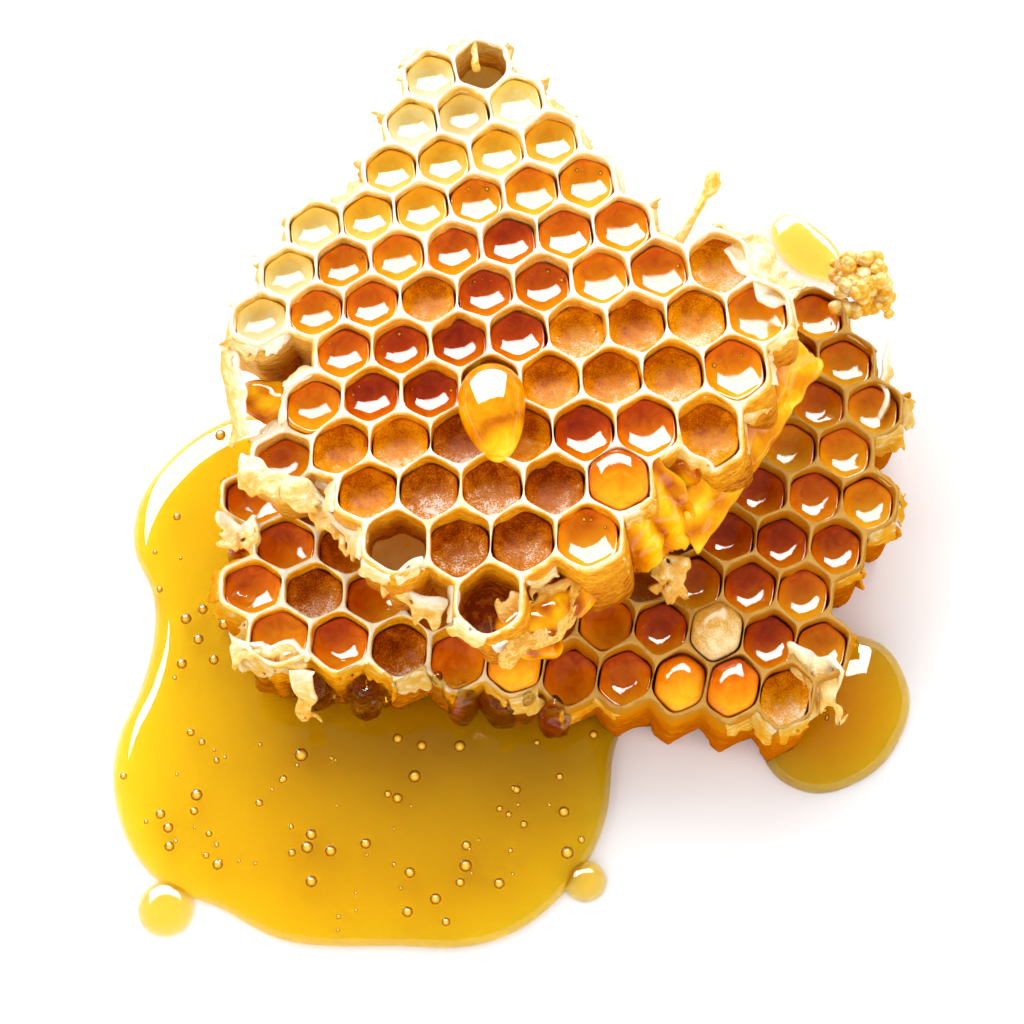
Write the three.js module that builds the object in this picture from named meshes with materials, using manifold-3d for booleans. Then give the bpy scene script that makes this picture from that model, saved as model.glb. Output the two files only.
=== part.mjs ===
// Honeycomb piece: a broken chunk of comb in two stacked layers, standing in the honey that ran out of it.
// Millimetres, +Z up. The near side of the piece is -Y.

import * as THREE from 'three';
import { mergeVertices } from 'three/addons/utils/BufferGeometryUtils.js';
import Module from 'manifold-3d';

const wasm = await Module();
wasm.setup();

// Sizes shared by both layers: the walls, the gap between wax and honey, the honey plate under the cells
// and the dip of a honey surface
const WALL = 0.8;
const CLEARANCE = 0.3;
const ROW_STEP = Math.sqrt(3) / 2;
const PLATE = 1.5;
const COLUMN_OVERLAP = 0.2;
const MENISCUS = 0.45;

// The outer wall stands this far outside the middle of the lattice's last walls, and its corners stray
const EDGE = WALL * 0.575;
const STRAY = 0.35;

// A cell is covered where the layer above reaches over all of it
const COVER = 0.58;

// Longer than anything on the piece, for blocks that cut
const SPAN = 200;

// Each layer: its floor, its rim and how far the rim rises and falls, the middle of the lattice of cells,
// the step along a row and across the rows, and how the rows fan out and bow. Each row, far one first,
// runs from its first place to its last.
const UPPER = {
  floor: 12.3,
  rim: 22,
  wave: 0.3,
  middleRow: 5,
  middlePlace: 0.5,
  middle: [-2.41, 17.39],
  along: [5.21, 0.68],
  across: [-0.39, 5.35],
  fan: [-0.106, 0.136],
  bowAlong: [0.028, 0],
  bowAcross: [-0.06, -0.037],
  rows: [
    [0, 1], [-0.5, 1.5], [-1, 2], [-2.5, 2.5], [-3, 3], [-3.5, 4.5],
    [-2, 5], [-2.5, 4.5], [-3, 4], [-1.5, 2.5], [-1, 2], [0.5, 0.5],
  ],
};
const LOWER = {
  floor: 0,
  rim: 12,
  wave: 0.1,
  middleRow: 7,
  middlePlace: 5,
  middle: [6.63, -5.88],
  along: [5.21, -0.54],
  across: [0.54, 5.31],
  fan: [0.104, 0.056],
  bowAlong: [-0.051, -0.017],
  bowAcross: [-0.108, -0.045],
  rows: [
    [3.5, 6.5], [3, 9], [1.5, 9.5], [1, 10], [0.5, 9.5],
    [0, 10], [-0.5, 9.5], [0, 9], [-0.5, 9.5], [0, 9],
  ],
};

// Places where a rim is broken away: x, y, reach and depth
const UPPER_TEARS = [
  [-6, -8.5, 3.5, 2.5], [-2, -13, 3.5, 4], [-20.5, 4.5, 4, 3],
  [-21, -1.5, 4, 4], [21, 3, 3.5, 2.5], [17.5, 0.5, 3, 3],
];
const LOWER_TEARS = [[-5, -17, 4, 3], [5, -18, 5, 4], [16, -19, 3.5, 1.5], [14, -8, 2.5, 1.5]];

// Honey surface below the rim, in each row of the upper layer and in the lower layer, and how much it
// differs from cell to cell. Two cells of the upper layer are brim full.
const UPPER_HEADSPACE = [6, 6, 5.5, 4, 3.5, 3, 3, 3, 3, 3.2, 4, 5.5];
const LOWER_HEADSPACE = 3.5;
const HEADSPACE_SPREAD = 0.8;
const BRIM_FULL = { '7,0.5': 0.4, '9,2.5': 0.5 };

// Stumps of torn walls: the share of corners that has one, its shortest length, how far below the rim it
// starts, its depth and its thickness
const STUMP = { share: 0.12, length: 0.7, below: 0.3, depth: 2, deeper: 2.5, thickness: WALL * 0.7 };
const UPPER_STUMP_REACH = { middle: 1.3, ends: 0.4, left: 0.8 };
const LOWER_STUMP_REACH = { right: 1.6, rest: 0.8 };
const SPIKE = { at: [-3.2, 40.6], top: 21.4, length: 3.1, depth: 3 };

// Leaves of thin wax on the edge of the upper layer
const LEAF_THICKNESS = 0.5;
const LEAF_ROOT = 1;
const LEAVES = [
  { at: [-23, 10, 19.5], angle: 2.6, length: 3.4, width: 5, tilt: 0.1 },
  { at: [-21.5, 16, 20], angle: 2.5, length: 3, width: 4, tilt: 0.1 },
  { at: [-22, 5, 17.5], angle: 3.1, length: 2.6, width: 5, tilt: -0.2 },
  { at: [12, 26, 19.5], angle: 0.9, length: 3, width: 4, tilt: 0.1 },
  { at: [22.5, 17, 19.5], angle: 0.7, length: 2.8, width: 4, tilt: 0 },
];

// Crusts of torn wax: the path, the number of lumps, their radius and how flat they are
const UPPER_CRUSTS = [
  [[[-23, 0.4, 18], [-19, -0.9, 17.4], [-15.5, -2.9, 17.8], [-11.8, -5.6, 17.8]], 7, 1.5, 0.8],
  [[[-4.2, -11.6, 16.4], [-0.8, -13.4, 16.6], [2.6, -13.6, 17.4], [6.4, -9.6, 18]], 6, 1.7, 1.1],
  [[[22, 6, 20], [24.4, 9.4, 17.6], [26, 13, 15.6], [25.6, 16, 15]], 5, 2, 1.1],
];
const LOWER_CRUSTS = [
  [[[-25.6, -1, 11.4], [-23.8, -3, 11.8], [-22, -5, 11.4]], 4, 1.3, 0.7],
  [[[-24, -13.4, 11.2], [-21.8, -15.2, 11.6], [-18.6, -15, 11.4]], 4, 1.5, 0.6],
  [[[24.4, -15, 11], [27, -17.4, 11.2], [28.6, -19.8, 9.4]], 4, 1.6, 0.8],
  [[[29.4, 19, 10], [31.4, 20.4, 10.6], [33.2, 21.4, 11.4]], 3, 1.6, 0.8],
];

// A curled thread of wax with a bead on its end
const CURL = { path: [[14.4, 21.6, 19.6], [17.4, 26.4, 20.4], [18.5, 28.4, 21]], radius: 0.4, steps: 5 };
const CURL_BEAD = [[18.5, 28.4, 21], [0.9, 0.8, 0.7]];

// Cappings that still close a cell, and the heap of wax grains on the far right corner
const CAPPINGS = [[[18.3, -13, 11.6], [3, 2.7, 1.2]], [[14.4, -7, 11.4], [2.4, 2.2, 0.9]]];
const HEAP = { at: [32.4, 20, 11], spread: [3.4, 4, 2.2], grains: 6, size: 1.2, larger: 0.6 };

// The large drop on the near middle cell, and the brim-full cell that runs over the near right edge
const BIG_DROP = { at: [-2, 5.6, 21.3], radii: [3, 4.6, 3.3] };
const SWELL = { at: [9.6, -1.2, 21.4], radii: [2.4, 2.6, 1.5] };

// Honey that has run out over the comb and on to the surface under it
const POOL_HEIGHT = 2.4;
const POOL_EDGE = 1.3;
const POOL_POINTS = 40;
const POOL_OUTLINE = [
  [-25.5, 13.5], [-29.8, 11.9], [-33.5, 8.6], [-35.9, 4.5], [-36.2, -0.1], [-34.2, -4.8], [-34, -9.6],
  [-35.1, -14.5], [-36.8, -18.9], [-37.1, -23.7], [-35.3, -29.3], [-31.8, -33.1], [-27.1, -34.9],
  [-20.2, -38.2], [-10.2, -38.6], [-3.8, -38.6], [1.6, -36.5], [6.2, -31.9], [8.6, -27], [9.3, -21.7],
  [9.2, -14], [-4, -6], [-17, 4], [-20, 12],
];
const SPILL = {
  path: [[10.2, -1, 22], [13.4, -1.6, 22.4], [15.3, -2.4, 20.2], [14.5, -4.2, 17], [12.8, -5.6, 14.6]],
  lumps: 7,
  radius: 1.8,
};

// Drips down the near side and the left side of the lower layer: x, y, radius and height
const LOWER_DRIPS = [
  [-24.9, -3.5, 1.6, 8.5], [-24.4, -8, 1.5, 8], [-18, -15.6, 1.5, 6], [-13.4, -16.4, 1.8, 7],
  [-4.5, -17, 1.5, 6.5], [-0.8, -17.4, 1.4, 5.5], [4, -18.2, 1.5, 6],
];

// Drops with a flat underside: how many steps their domes have, how round they are and where they lie
const DROP_STEPS = 5;
const DROP_SIDES = 18;
const DROP_FULLNESS = 0.8;
const POOL_BEADS = [
  { at: [-31.7, -35.1], radii: [2.6, 2.6], turn: 0, height: 1.8 },
  { at: [5.6, -31.6], radii: [2, 2], turn: 0, height: 1.8 },
];
const RIGHT_DROP = { at: [29.5, -16.5], radii: [7.4, 8], turn: 0, height: 3.8 };
const FAR_DROP = { at: [29.6, 31.5], radii: [2.9, 4.6], turn: 0.85, height: 1.6 };

// Starting numbers for what differs from place to place
const SEEDS = { upperEdge: 15, lowerEdge: 3, upperStumps: 11, lowerStumps: 23, heap: 5, upperHoney: 17,
  lowerHoney: 29 };

// A repeatable source of small irregularities
function seeded(seed) {
  let state = seed;
  return () => {
    state = (state * 16807) % 2147483647;
    return state / 2147483647;
  };
}

function solidOf(geometry) {
  const bare = geometry.clone();
  bare.deleteAttribute('normal');
  bare.deleteAttribute('uv');
  const merged = mergeVertices(bare, 1e-4);
  return new wasm.Manifold(new wasm.Mesh({
    numProp: 3,
    vertProperties: new Float32Array(merged.attributes.position.array),
    triVerts: new Uint32Array(merged.index.array),
  }));
}

function meshOf(name, solid, colour, roughness) {
  const { vertProperties, triVerts } = solid.getMesh();
  const geometry = new THREE.BufferGeometry();
  geometry.setAttribute('position', new THREE.BufferAttribute(new Float32Array(vertProperties), 3));
  geometry.setIndex(new THREE.BufferAttribute(new Uint32Array(triVerts), 1));
  geometry.computeVertexNormals();
  const finish = new THREE.MeshStandardMaterial({ color: colour, roughness, metalness: 0 });
  const mesh = new THREE.Mesh(geometry, finish);
  mesh.name = name;
  return mesh;
}

function joined(solids) {
  return solids.reduce((whole, piece) => whole.add(piece));
}

// Middle of the cell at a place along a row, also for places just outside the piece
function cellMiddle(layer, row, place) {
  const a = place - layer.middlePlace;
  const b = (layer.middleRow - row) * ROW_STEP;
  const coordinate = (i) => layer.middle[i] + layer.along[i] * a + layer.across[i] * b
    + layer.fan[i] * a * b + layer.bowAlong[i] * a * a + layer.bowAcross[i] * b * b;
  return new THREE.Vector2(coordinate(0), coordinate(1));
}

// Every cell of a layer, with its six neighbours and the six corners that it shares with them
function cellsOf(layer) {
  const cells = new Map();
  layer.rows.forEach(([first, last], row) => {
    for (let place = first; place <= last; place += 1) {
      cells.set(`${row},${place}`, { row, place });
    }
  });
  for (const cell of cells.values()) {
    const { row, place } = cell;
    const around = [
      [row, place + 1], [row - 1, place + 0.5], [row - 1, place - 0.5],
      [row, place - 1], [row + 1, place - 0.5], [row + 1, place + 0.5],
    ];
    cell.middle = cellMiddle(layer, row, place);
    cell.open = around.map(([r, p]) => !cells.has(`${r},${p}`));
    cell.corners = around.map((one, i) => {
      const next = cellMiddle(layer, ...around[(i + 1) % 6]);
      return cell.middle.clone().add(cellMiddle(layer, ...one)).add(next).divideScalar(3);
    });
  }
  return [...cells.values()];
}

// Cells whose mouths are not shut by the layer above
function openOnes(cells) {
  return cells.filter((cell) => !cell.shut);
}

// The hexagon of one cell, drawn in from the middle of its walls
function cellRing(cell, inset) {
  const sides = cell.corners.map((corner, i) =>
    corner.clone().add(cell.corners[(i + 1) % 6]).divideScalar(2).distanceTo(cell.middle));
  const scale = 1 - inset / Math.min(...sides);
  return cell.corners.map((corner) => corner.clone().sub(cell.middle).multiplyScalar(scale).add(cell.middle));
}

// The outer edge of a layer, one corner after the other, each pushed outward and straying a little
function outlineOf(cells, outset, stray = 0, seed = 1) {
  const random = seeded(seed);
  const key = (point) => `${point.x.toFixed(3)},${point.y.toFixed(3)}`;
  const edges = new Map();
  const owners = new Map();
  for (const cell of cells) {
    cell.corners.forEach((corner, i) => {
      owners.set(key(corner), [...(owners.get(key(corner)) ?? []), cell.middle]);
      const before = cell.corners[(i + 5) % 6];
      if (cell.open[i]) edges.set(key(before), [before, corner]);
    });
  }
  const outline = [];
  const start = [...edges.keys()][0];
  let at = start;
  do {
    const [corner, next] = edges.get(at);
    const middles = owners.get(at);
    const inside = middles.reduce((sum, middle) => sum.clone().add(middle)).divideScalar(middles.length);
    const outward = corner.clone().sub(inside).normalize();
    const point = corner.clone().addScaledVector(outward, outset + stray * random());
    outline.push({ point, outward });
    at = key(next);
  } while (at !== start);
  return outline;
}

// Rim height at a point: gentle waves, and the places where the wax is broken away
function rimAt(layer, tears, x, y) {
  const wave = layer.wave * (1 + Math.sin(x * 0.35 + y * 0.2) * Math.cos(y * 0.3 - x * 0.1));
  const broken = tears.reduce((sum, [tx, ty, reach, depth]) =>
    sum + depth * Math.exp(-((x - tx) ** 2 + (y - ty) ** 2) / (reach * reach)), 0);
  return layer.rim - wave - broken;
}

// The wax walls of a layer as one lattice, open at the bottom of each cell, where the honey joins up
function lattice(layer, cells, tears, extra, seed) {
  const outline = outlineOf(cells, EDGE + extra, STRAY, seed);
  const shape = new THREE.Shape(outline.map(({ point }) => point));
  for (const cell of openOnes(cells)) {
    shape.holes.push(new THREE.Path(cellRing(cell, WALL / 2 + extra).reverse()));
  }
  const bottom = layer.floor + PLATE + CLEARANCE - extra;
  const geometry = new THREE.ExtrudeGeometry(shape, { depth: 1, bevelEnabled: false });
  const position = geometry.attributes.position;
  for (let i = 0; i < position.count; i += 1) {
    const top = position.getZ(i) > 0.5;
    const height = rimAt(layer, tears, position.getX(i), position.getY(i)) + extra;
    position.setZ(i, top ? height : bottom);
  }
  return solidOf(geometry);
}

// A flat plate with the layer's outer edge
function plate(cells, outset, bottom, height) {
  const shape = new THREE.Shape(outlineOf(cells, outset).map(({ point }) => point));
  const geometry = new THREE.ExtrudeGeometry(shape, { depth: height, bevelEnabled: false });
  return solidOf(geometry.translate(0, 0, bottom));
}

// Honey in one cell: a hexagonal column whose surface sinks toward its middle
function column(cell, bottom, top) {
  const ring = cellRing(cell, WALL / 2 + CLEARANCE);
  const geometry = new THREE.CylinderGeometry(1, 1, 1, 6);
  geometry.rotateX(Math.PI / 2);
  const position = geometry.attributes.position;
  for (let i = 0; i < position.count; i += 1) {
    const [x, y] = [position.getX(i), position.getY(i)];
    const upper = position.getZ(i) > 0;
    const onAxis = Math.hypot(x, y) < 0.5;
    const corner = (Math.round(Math.atan2(y, x) / (Math.PI / 3) - 0.5) + 6) % 6;
    const at = onAxis ? cell.middle : ring[corner];
    position.setXYZ(i, at.x, at.y, upper ? top - (onAxis ? MENISCUS : 0) : bottom);
  }
  return solidOf(geometry);
}

function lump([x, y, z], [rx, ry, rz], segments = 7) {
  const geometry = new THREE.SphereGeometry(1, segments, Math.round(segments * 0.7));
  return solidOf(geometry.rotateX(Math.PI / 2).scale(rx, ry, rz).translate(x, y, z));
}

// A small angular lump of torn wax
function crag([x, y, z], [rx, ry, rz], turn = 0) {
  const geometry = new THREE.IcosahedronGeometry(1, 0);
  return solidOf(geometry.rotateZ(turn).scale(rx, ry, rz).translate(x, y, z));
}

function curveOf(points) {
  return new THREE.CatmullRomCurve3(points.map((p) => new THREE.Vector3(...p)));
}

// Lumps one after the other along a smooth path, for drips and for crusts
function trail(points, count, radius, flatten, piece) {
  const lumps = curveOf(points).getSpacedPoints(count - 1).map((p, i) => {
    const size = radius * (1 + 0.15 * Math.sin(i * 2.3));
    return piece([p.x, p.y, p.z], [size, size, size * flatten], i);
  });
  return joined(lumps);
}

// What is left of a wall that was torn off, standing out from the edge of the comb
function tornWall(point, direction, top, length, depth) {
  const root = -WALL;
  const shape = new THREE.Shape([
    new THREE.Vector2(root, top - depth),
    new THREE.Vector2(length, top - depth * 0.5),
    new THREE.Vector2(length * 0.7, top - depth * 0.1),
    new THREE.Vector2(root, top - 0.1),
  ]);
  const geometry = new THREE.ExtrudeGeometry(shape, { depth: STUMP.thickness, bevelEnabled: false });
  geometry.translate(0, 0, -STUMP.thickness / 2).rotateX(Math.PI / 2);
  geometry.rotateZ(Math.atan2(direction.y, direction.x)).translate(point.x, point.y, 0);
  return solidOf(geometry);
}

// Torn walls all round a layer, longest where the reach is large
function fringe(layer, cells, tears, reach, seed) {
  const random = seeded(seed);
  const torn = outlineOf(cells, 0).filter(() => random() < STUMP.share);
  return torn.map(({ point, outward }) => {
    const length = STUMP.length + reach(point) * random();
    const top = rimAt(layer, tears, point.x, point.y) - STUMP.below * random();
    return tornWall(point, outward, top, length, STUMP.depth + STUMP.deeper * random());
  });
}

// A leaf of thin wax lying nearly flat, torn along its far side
function leaf({ at, angle, length, width, tilt }) {
  const shape = new THREE.Shape();
  shape.moveTo(-LEAF_ROOT, -width * 0.4);
  shape.lineTo(length * 0.6, -width * 0.5);
  shape.lineTo(length, width * 0.05);
  shape.lineTo(length * 0.5, width * 0.5);
  shape.lineTo(-LEAF_ROOT, width * 0.4);
  const geometry = new THREE.ExtrudeGeometry(shape, { depth: LEAF_THICKNESS, bevelEnabled: false });
  return solidOf(geometry.rotateY(-tilt).rotateZ(angle).translate(...at));
}

// A drop that lies on the surface: domed, with a flat underside
function dropOf({ at, radii, turn, height }) {
  const profile = [new THREE.Vector2(0, 0), new THREE.Vector2(1, 0)];
  for (let step = 1; step < DROP_STEPS; step += 1) {
    const angle = (step / DROP_STEPS) * (Math.PI / 2);
    profile.push(new THREE.Vector2(Math.cos(angle) ** DROP_FULLNESS, Math.sin(angle)));
  }
  profile.push(new THREE.Vector2(0, 1));
  const geometry = new THREE.LatheGeometry(profile, DROP_SIDES);
  geometry.rotateX(Math.PI / 2).scale(radii[0], radii[1], height);
  return solidOf(geometry.rotateZ(turn).translate(at[0], at[1], 0));
}

// The pool: a smooth outline with a rounded rim and a flat underside
function pool() {
  const outline = new THREE.CatmullRomCurve3(POOL_OUTLINE.map(([x, y]) => new THREE.Vector3(x, y, 0)), true);
  const spaced = outline.getSpacedPoints(POOL_POINTS).slice(0, -1);
  const points = spaced.map((p) => new THREE.Vector2(p.x, p.y));
  const geometry = new THREE.ExtrudeGeometry(new THREE.Shape(points), {
    depth: POOL_HEIGHT,
    bevelThickness: POOL_EDGE,
    bevelSize: POOL_EDGE,
    bevelOffset: -POOL_EDGE,
    bevelSegments: 2,
  });
  const slab = solidOf(geometry.translate(0, 0, -POOL_EDGE));
  const above = solidOf(new THREE.BoxGeometry(SPAN, SPAN, SPAN).translate(0, 0, SPAN / 2));
  return joined([slab.intersect(above), ...POOL_BEADS.map(dropOf)]);
}

// Where each cell's honey ends, a little different from cell to cell
function withLevels(layer, cells, headspace, brimFull, seed) {
  const random = seeded(seed);
  for (const cell of cells) {
    const spread = HEADSPACE_SPREAD * (2 * random() - 1);
    const below = brimFull[`${cell.row},${cell.place}`] ?? headspace(cell.row) + spread;
    cell.level = layer.rim - below;
  }
  return cells;
}

// The room that honey and its clearance take up inside the cells
function honeyRoom(layer, cells) {
  return joined(openOnes(cells).map((cell) => {
    const shape = new THREE.Shape(cellRing(cell, WALL / 2));
    const depth = cell.level + CLEARANCE - layer.floor;
    const geometry = new THREE.ExtrudeGeometry(shape, { depth, bevelEnabled: false });
    return solidOf(geometry.translate(0, 0, layer.floor));
  }));
}

// Honey of a layer: a plate under the walls, a column in each cell, and the drips that ran over the edge
function honeyOf(layer, cells, tears, drips, edgeSeed) {
  const base = plate(cells, EDGE, layer.floor, PLATE);
  const foot = layer.floor + PLATE - COLUMN_OVERLAP;
  const columns = openOnes(cells).map((cell) => column(cell, foot, cell.level));
  const grownWax = lattice(layer, cells, tears, CLEARANCE, edgeSeed);
  return joined([base, ...columns, joined(drips(0)).subtract(grownWax)]);
}

// Wax of a layer: its walls and what is torn, crusted or capped on them, kept clear of the honey
function waxOf(layer, cells, tears, torn, drips, edgeSeed) {
  const walls = lattice(layer, cells, tears, 0, edgeSeed);
  const room = honeyRoom(layer, cells).add(joined(drips(CLEARANCE)));
  const plateTop = layer.floor + PLATE + CLEARANCE;
  const below = solidOf(new THREE.BoxGeometry(SPAN, SPAN, SPAN).translate(0, 0, plateTop - SPAN / 2));
  return walls.add(joined(torn).subtract(room).subtract(below));
}

// Honey that stands on the upper layer, grown by a gap where wax is cut back for it
function upperDrips(grow) {
  const swollen = ({ at, radii }, segments) => lump(at, radii.map((radius) => radius + grow), segments);
  return [
    swollen(BIG_DROP, 10),
    swollen(SWELL, 8),
    trail(SPILL.path, SPILL.lumps, SPILL.radius + grow, 1, lump),
  ];
}

// Drips down the sides of the lower layer, grown in the same way
function lowerDrips(grow) {
  return LOWER_DRIPS.map(([x, y, radius, height]) =>
    lump([x, y, height / 2], [radius + grow, radius + grow, height / 2 + grow]));
}

// Wax of the upper layer that was torn, folded or dropped when the piece broke off
function upperTorn(cells) {
  const { middle, ends, left } = UPPER_STUMP_REACH;
  const reach = ({ x, y }) => (y < 0 || y > 36 ? ends : middle) + (x < -18 ? left : 0);
  const round = new THREE.Shape().absarc(0, 0, CURL.radius, 0, 2 * Math.PI);
  const thread = { extrudePath: curveOf(CURL.path), steps: CURL.steps, curveSegments: 3 };
  const spikeAt = new THREE.Vector2(...SPIKE.at);
  return [
    ...fringe(UPPER, cells, UPPER_TEARS, reach, SEEDS.upperStumps),
    tornWall(spikeAt, new THREE.Vector2(0, 1), SPIKE.top, SPIKE.length, SPIKE.depth),
    ...LEAVES.map(leaf),
    ...UPPER_CRUSTS.map((crust) => trail(...crust, crag)),
    solidOf(new THREE.ExtrudeGeometry(round, thread)),
    lump(...CURL_BEAD),
  ];
}

// Cappings, crusts and grains of wax on the lower layer
function lowerTorn(cells) {
  const reach = ({ x }) => (x > 20 ? LOWER_STUMP_REACH.right : LOWER_STUMP_REACH.rest);
  const random = seeded(SEEDS.heap);
  const heap = Array.from({ length: HEAP.grains }, () => {
    const spot = HEAP.at.map((least, i) => least + HEAP.spread[i] * random());
    const size = HEAP.size + HEAP.larger * random();
    return crag(spot, [size, size, size]);
  });
  return [
    ...fringe(LOWER, cells, LOWER_TEARS, reach, SEEDS.lowerStumps),
    ...CAPPINGS.map(([at, radii]) => lump(at, radii)),
    ...LOWER_CRUSTS.map((crust) => trail(...crust, crag)),
    ...heap,
  ];
}

const upperHeadspace = (row) => UPPER_HEADSPACE[row];
const lowerHeadspace = () => LOWER_HEADSPACE;
const upperCells = withLevels(UPPER, cellsOf(UPPER), upperHeadspace, BRIM_FULL, SEEDS.upperHoney);
const lowerCells = withLevels(LOWER, cellsOf(LOWER), lowerHeadspace, {}, SEEDS.lowerHoney);
for (const cell of lowerCells) {
  const reach = UPPER.along[0] * COVER;
  const covered = (point) => upperCells.some((upper) => upper.middle.distanceTo(point) < reach);
  cell.shut = [cell.middle, ...cell.corners].every(covered);
}

// The room that the comb and its drips take up, cut out of the pool and the drops beside it
const footprint = joined([
  plate(lowerCells, EDGE + STRAY + CLEARANCE, -SPAN / 2, SPAN),
  ...LOWER_DRIPS.map(([x, y, radius]) => {
    const post = new THREE.CylinderGeometry(radius + CLEARANCE, radius + CLEARANCE, SPAN, 10);
    return solidOf(post.rotateX(Math.PI / 2).translate(x, y, 0));
  }),
]);

const upperTornWax = upperTorn(upperCells);
const lowerTornWax = lowerTorn(lowerCells);
const upperWax = waxOf(UPPER, upperCells, UPPER_TEARS, upperTornWax, upperDrips, SEEDS.upperEdge);
const lowerWax = waxOf(LOWER, lowerCells, LOWER_TEARS, lowerTornWax, lowerDrips, SEEDS.lowerEdge);
const upperHoney = honeyOf(UPPER, upperCells, UPPER_TEARS, upperDrips, SEEDS.upperEdge);
const lowerHoney = honeyOf(LOWER, lowerCells, LOWER_TEARS, lowerDrips, SEEDS.lowerEdge);

const model = new THREE.Group();
model.add(
  meshOf('upper_wax', upperWax, '#f3dd9a', 0.55),
  meshOf('upper_honey', upperHoney, '#d98a1e', 0.15),
  meshOf('lower_wax', lowerWax, '#e6c47c', 0.55),
  meshOf('lower_honey', lowerHoney, '#c2731a', 0.15),
  meshOf('honey_pool', pool().subtract(footprint), '#eec04a', 0.1),
  meshOf('right_drop', dropOf(RIGHT_DROP).subtract(footprint), '#d9aa45', 0.1),
  meshOf('far_drop', dropOf(FAR_DROP).subtract(footprint), '#f0dc9c', 0.1),
);

// The origin is the middle of the footprint, on the surface that the piece lies on
const box = new THREE.Box3().setFromObject(model);
const middle = box.getCenter(new THREE.Vector3());
model.position.set(-middle.x, -middle.y, -box.min.z);
model.updateMatrixWorld(true);

export default model;
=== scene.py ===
# Honeycomb piece: a broken chunk of comb in two layers, dripping honey into the pool that it stands in.
# Places are in millimetres as measured over the piece, and placed() turns them into the frame's metres.

import math
import random

import bmesh
import bpy
from mathutils import Matrix, Vector, noise


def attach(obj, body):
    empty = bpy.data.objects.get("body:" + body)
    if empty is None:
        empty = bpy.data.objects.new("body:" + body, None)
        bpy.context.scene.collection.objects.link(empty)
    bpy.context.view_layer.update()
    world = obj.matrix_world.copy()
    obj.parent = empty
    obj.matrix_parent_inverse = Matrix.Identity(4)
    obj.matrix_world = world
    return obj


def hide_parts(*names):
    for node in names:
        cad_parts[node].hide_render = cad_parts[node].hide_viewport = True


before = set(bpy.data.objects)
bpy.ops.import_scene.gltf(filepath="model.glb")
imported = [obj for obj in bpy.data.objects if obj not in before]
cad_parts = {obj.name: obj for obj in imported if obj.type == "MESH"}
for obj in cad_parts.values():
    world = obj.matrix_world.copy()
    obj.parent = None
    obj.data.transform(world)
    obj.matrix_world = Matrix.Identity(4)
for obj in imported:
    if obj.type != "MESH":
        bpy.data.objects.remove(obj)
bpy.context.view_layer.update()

# The noise that moves points starts from the same seed each time, so every run gives the same shapes
SHAPE_SEED = 7
noise.seed_set(SHAPE_SEED)

MM = 0.001
ORIGIN = Vector((-0.0746, 2.6287))
ROW_STEP = math.sqrt(3) / 2
POINTS_PER_WALL = 3
# The board's face lies this far above the undersides of the puddles, so that no film of air shows there
BOARD_TOP = 0.15

# The two lattices of cells, as in the solids: the middle of the lattice, the steps along a row and across
# the rows, how the rows fan out and bow, and the first and last place of each row, far row first
UPPER = {
    "floor": 12.3,
    "rim": 22.0,
    "wave": 0.3,
    "lean": 0.1,
    "middle_row": 5,
    "middle_place": 0.5,
    "middle": (-2.41, 17.39),
    "along": (5.21, 0.68),
    "across": (-0.39, 5.35),
    "fan": (-0.106, 0.136),
    "bow_along": (0.028, 0.0),
    "bow_across": (-0.06, -0.037),
    "rows": (
        (0, 1), (-0.5, 1.5), (-1, 2), (-2.5, 2.5), (-3, 3), (-3.5, 4.5),
        (-2, 5), (-2.5, 4.5), (-3, 4), (-1.5, 2.5), (-1, 2), (0.5, 0.5),
    ),
    "tears": (
        (-6, -8.5, 3.5, 2.5), (-2, -13, 3.5, 4), (-20.5, 4.5, 4, 3), (-21, -1.5, 4, 4),
        (21, 3, 3.5, 2.5), (17.5, 0.5, 3, 3),
    ),
}
LOWER = {
    "floor": 0.0,
    "rim": 12.0,
    "wave": 0.1,
    "lean": 0.03,
    "middle_row": 7,
    "middle_place": 5,
    "middle": (6.63, -5.88),
    "along": (5.21, -0.54),
    "across": (0.54, 5.31),
    "fan": (0.104, 0.056),
    "bow_along": (-0.051, -0.017),
    "bow_across": (-0.108, -0.045),
    "rows": (
        (3.5, 6.5), (3, 9), (1.5, 9.5), (1, 10), (0.5, 9.5),
        (0, 10), (-0.5, 9.5), (0, 9), (-0.5, 9.5), (0, 9),
    ),
    "tears": ((-5, -17, 4, 3), (5, -18, 5, 4), (16, -19, 3.5, 1.5), (14, -8, 2.5, 1.5)),
}

# What each cell holds: p pale, y yellow, g golden, a amber, r red, s set honey, b set brown honey, e empty,
# o brim full, c capped. Far row first, left to right.
UPPER_FILL = ("pe", "ppp", "yyyy", "pyyggg", "pggarag", "pgasraggs", "arrrsssg",
              "grrasssg", "gssbsras", "sbbbo", "ebbg", "e")
LOWER_FILL = ("agag", "aaaagag", "aaaaaagag", "aaaaaaagag", "aaaaaaaagg",
              "aaaaaaaarag", "asaaaaaarra", "asaaaasara", "abaaaaarcrg", "gabaoaaoos")


def placed(x, y, z):
    return Vector(((x - ORIGIN.x) * MM, (y - ORIGIN.y) * MM, z * MM))


def linear(hex_colour, alpha=1.0):
    parts = [int(hex_colour[i : i + 2], 16) / 255 for i in (1, 3, 5)]
    return (*[p / 12.92 if p <= 0.04045 else ((p + 0.055) / 1.055) ** 2.4 for p in parts], alpha)


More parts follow.
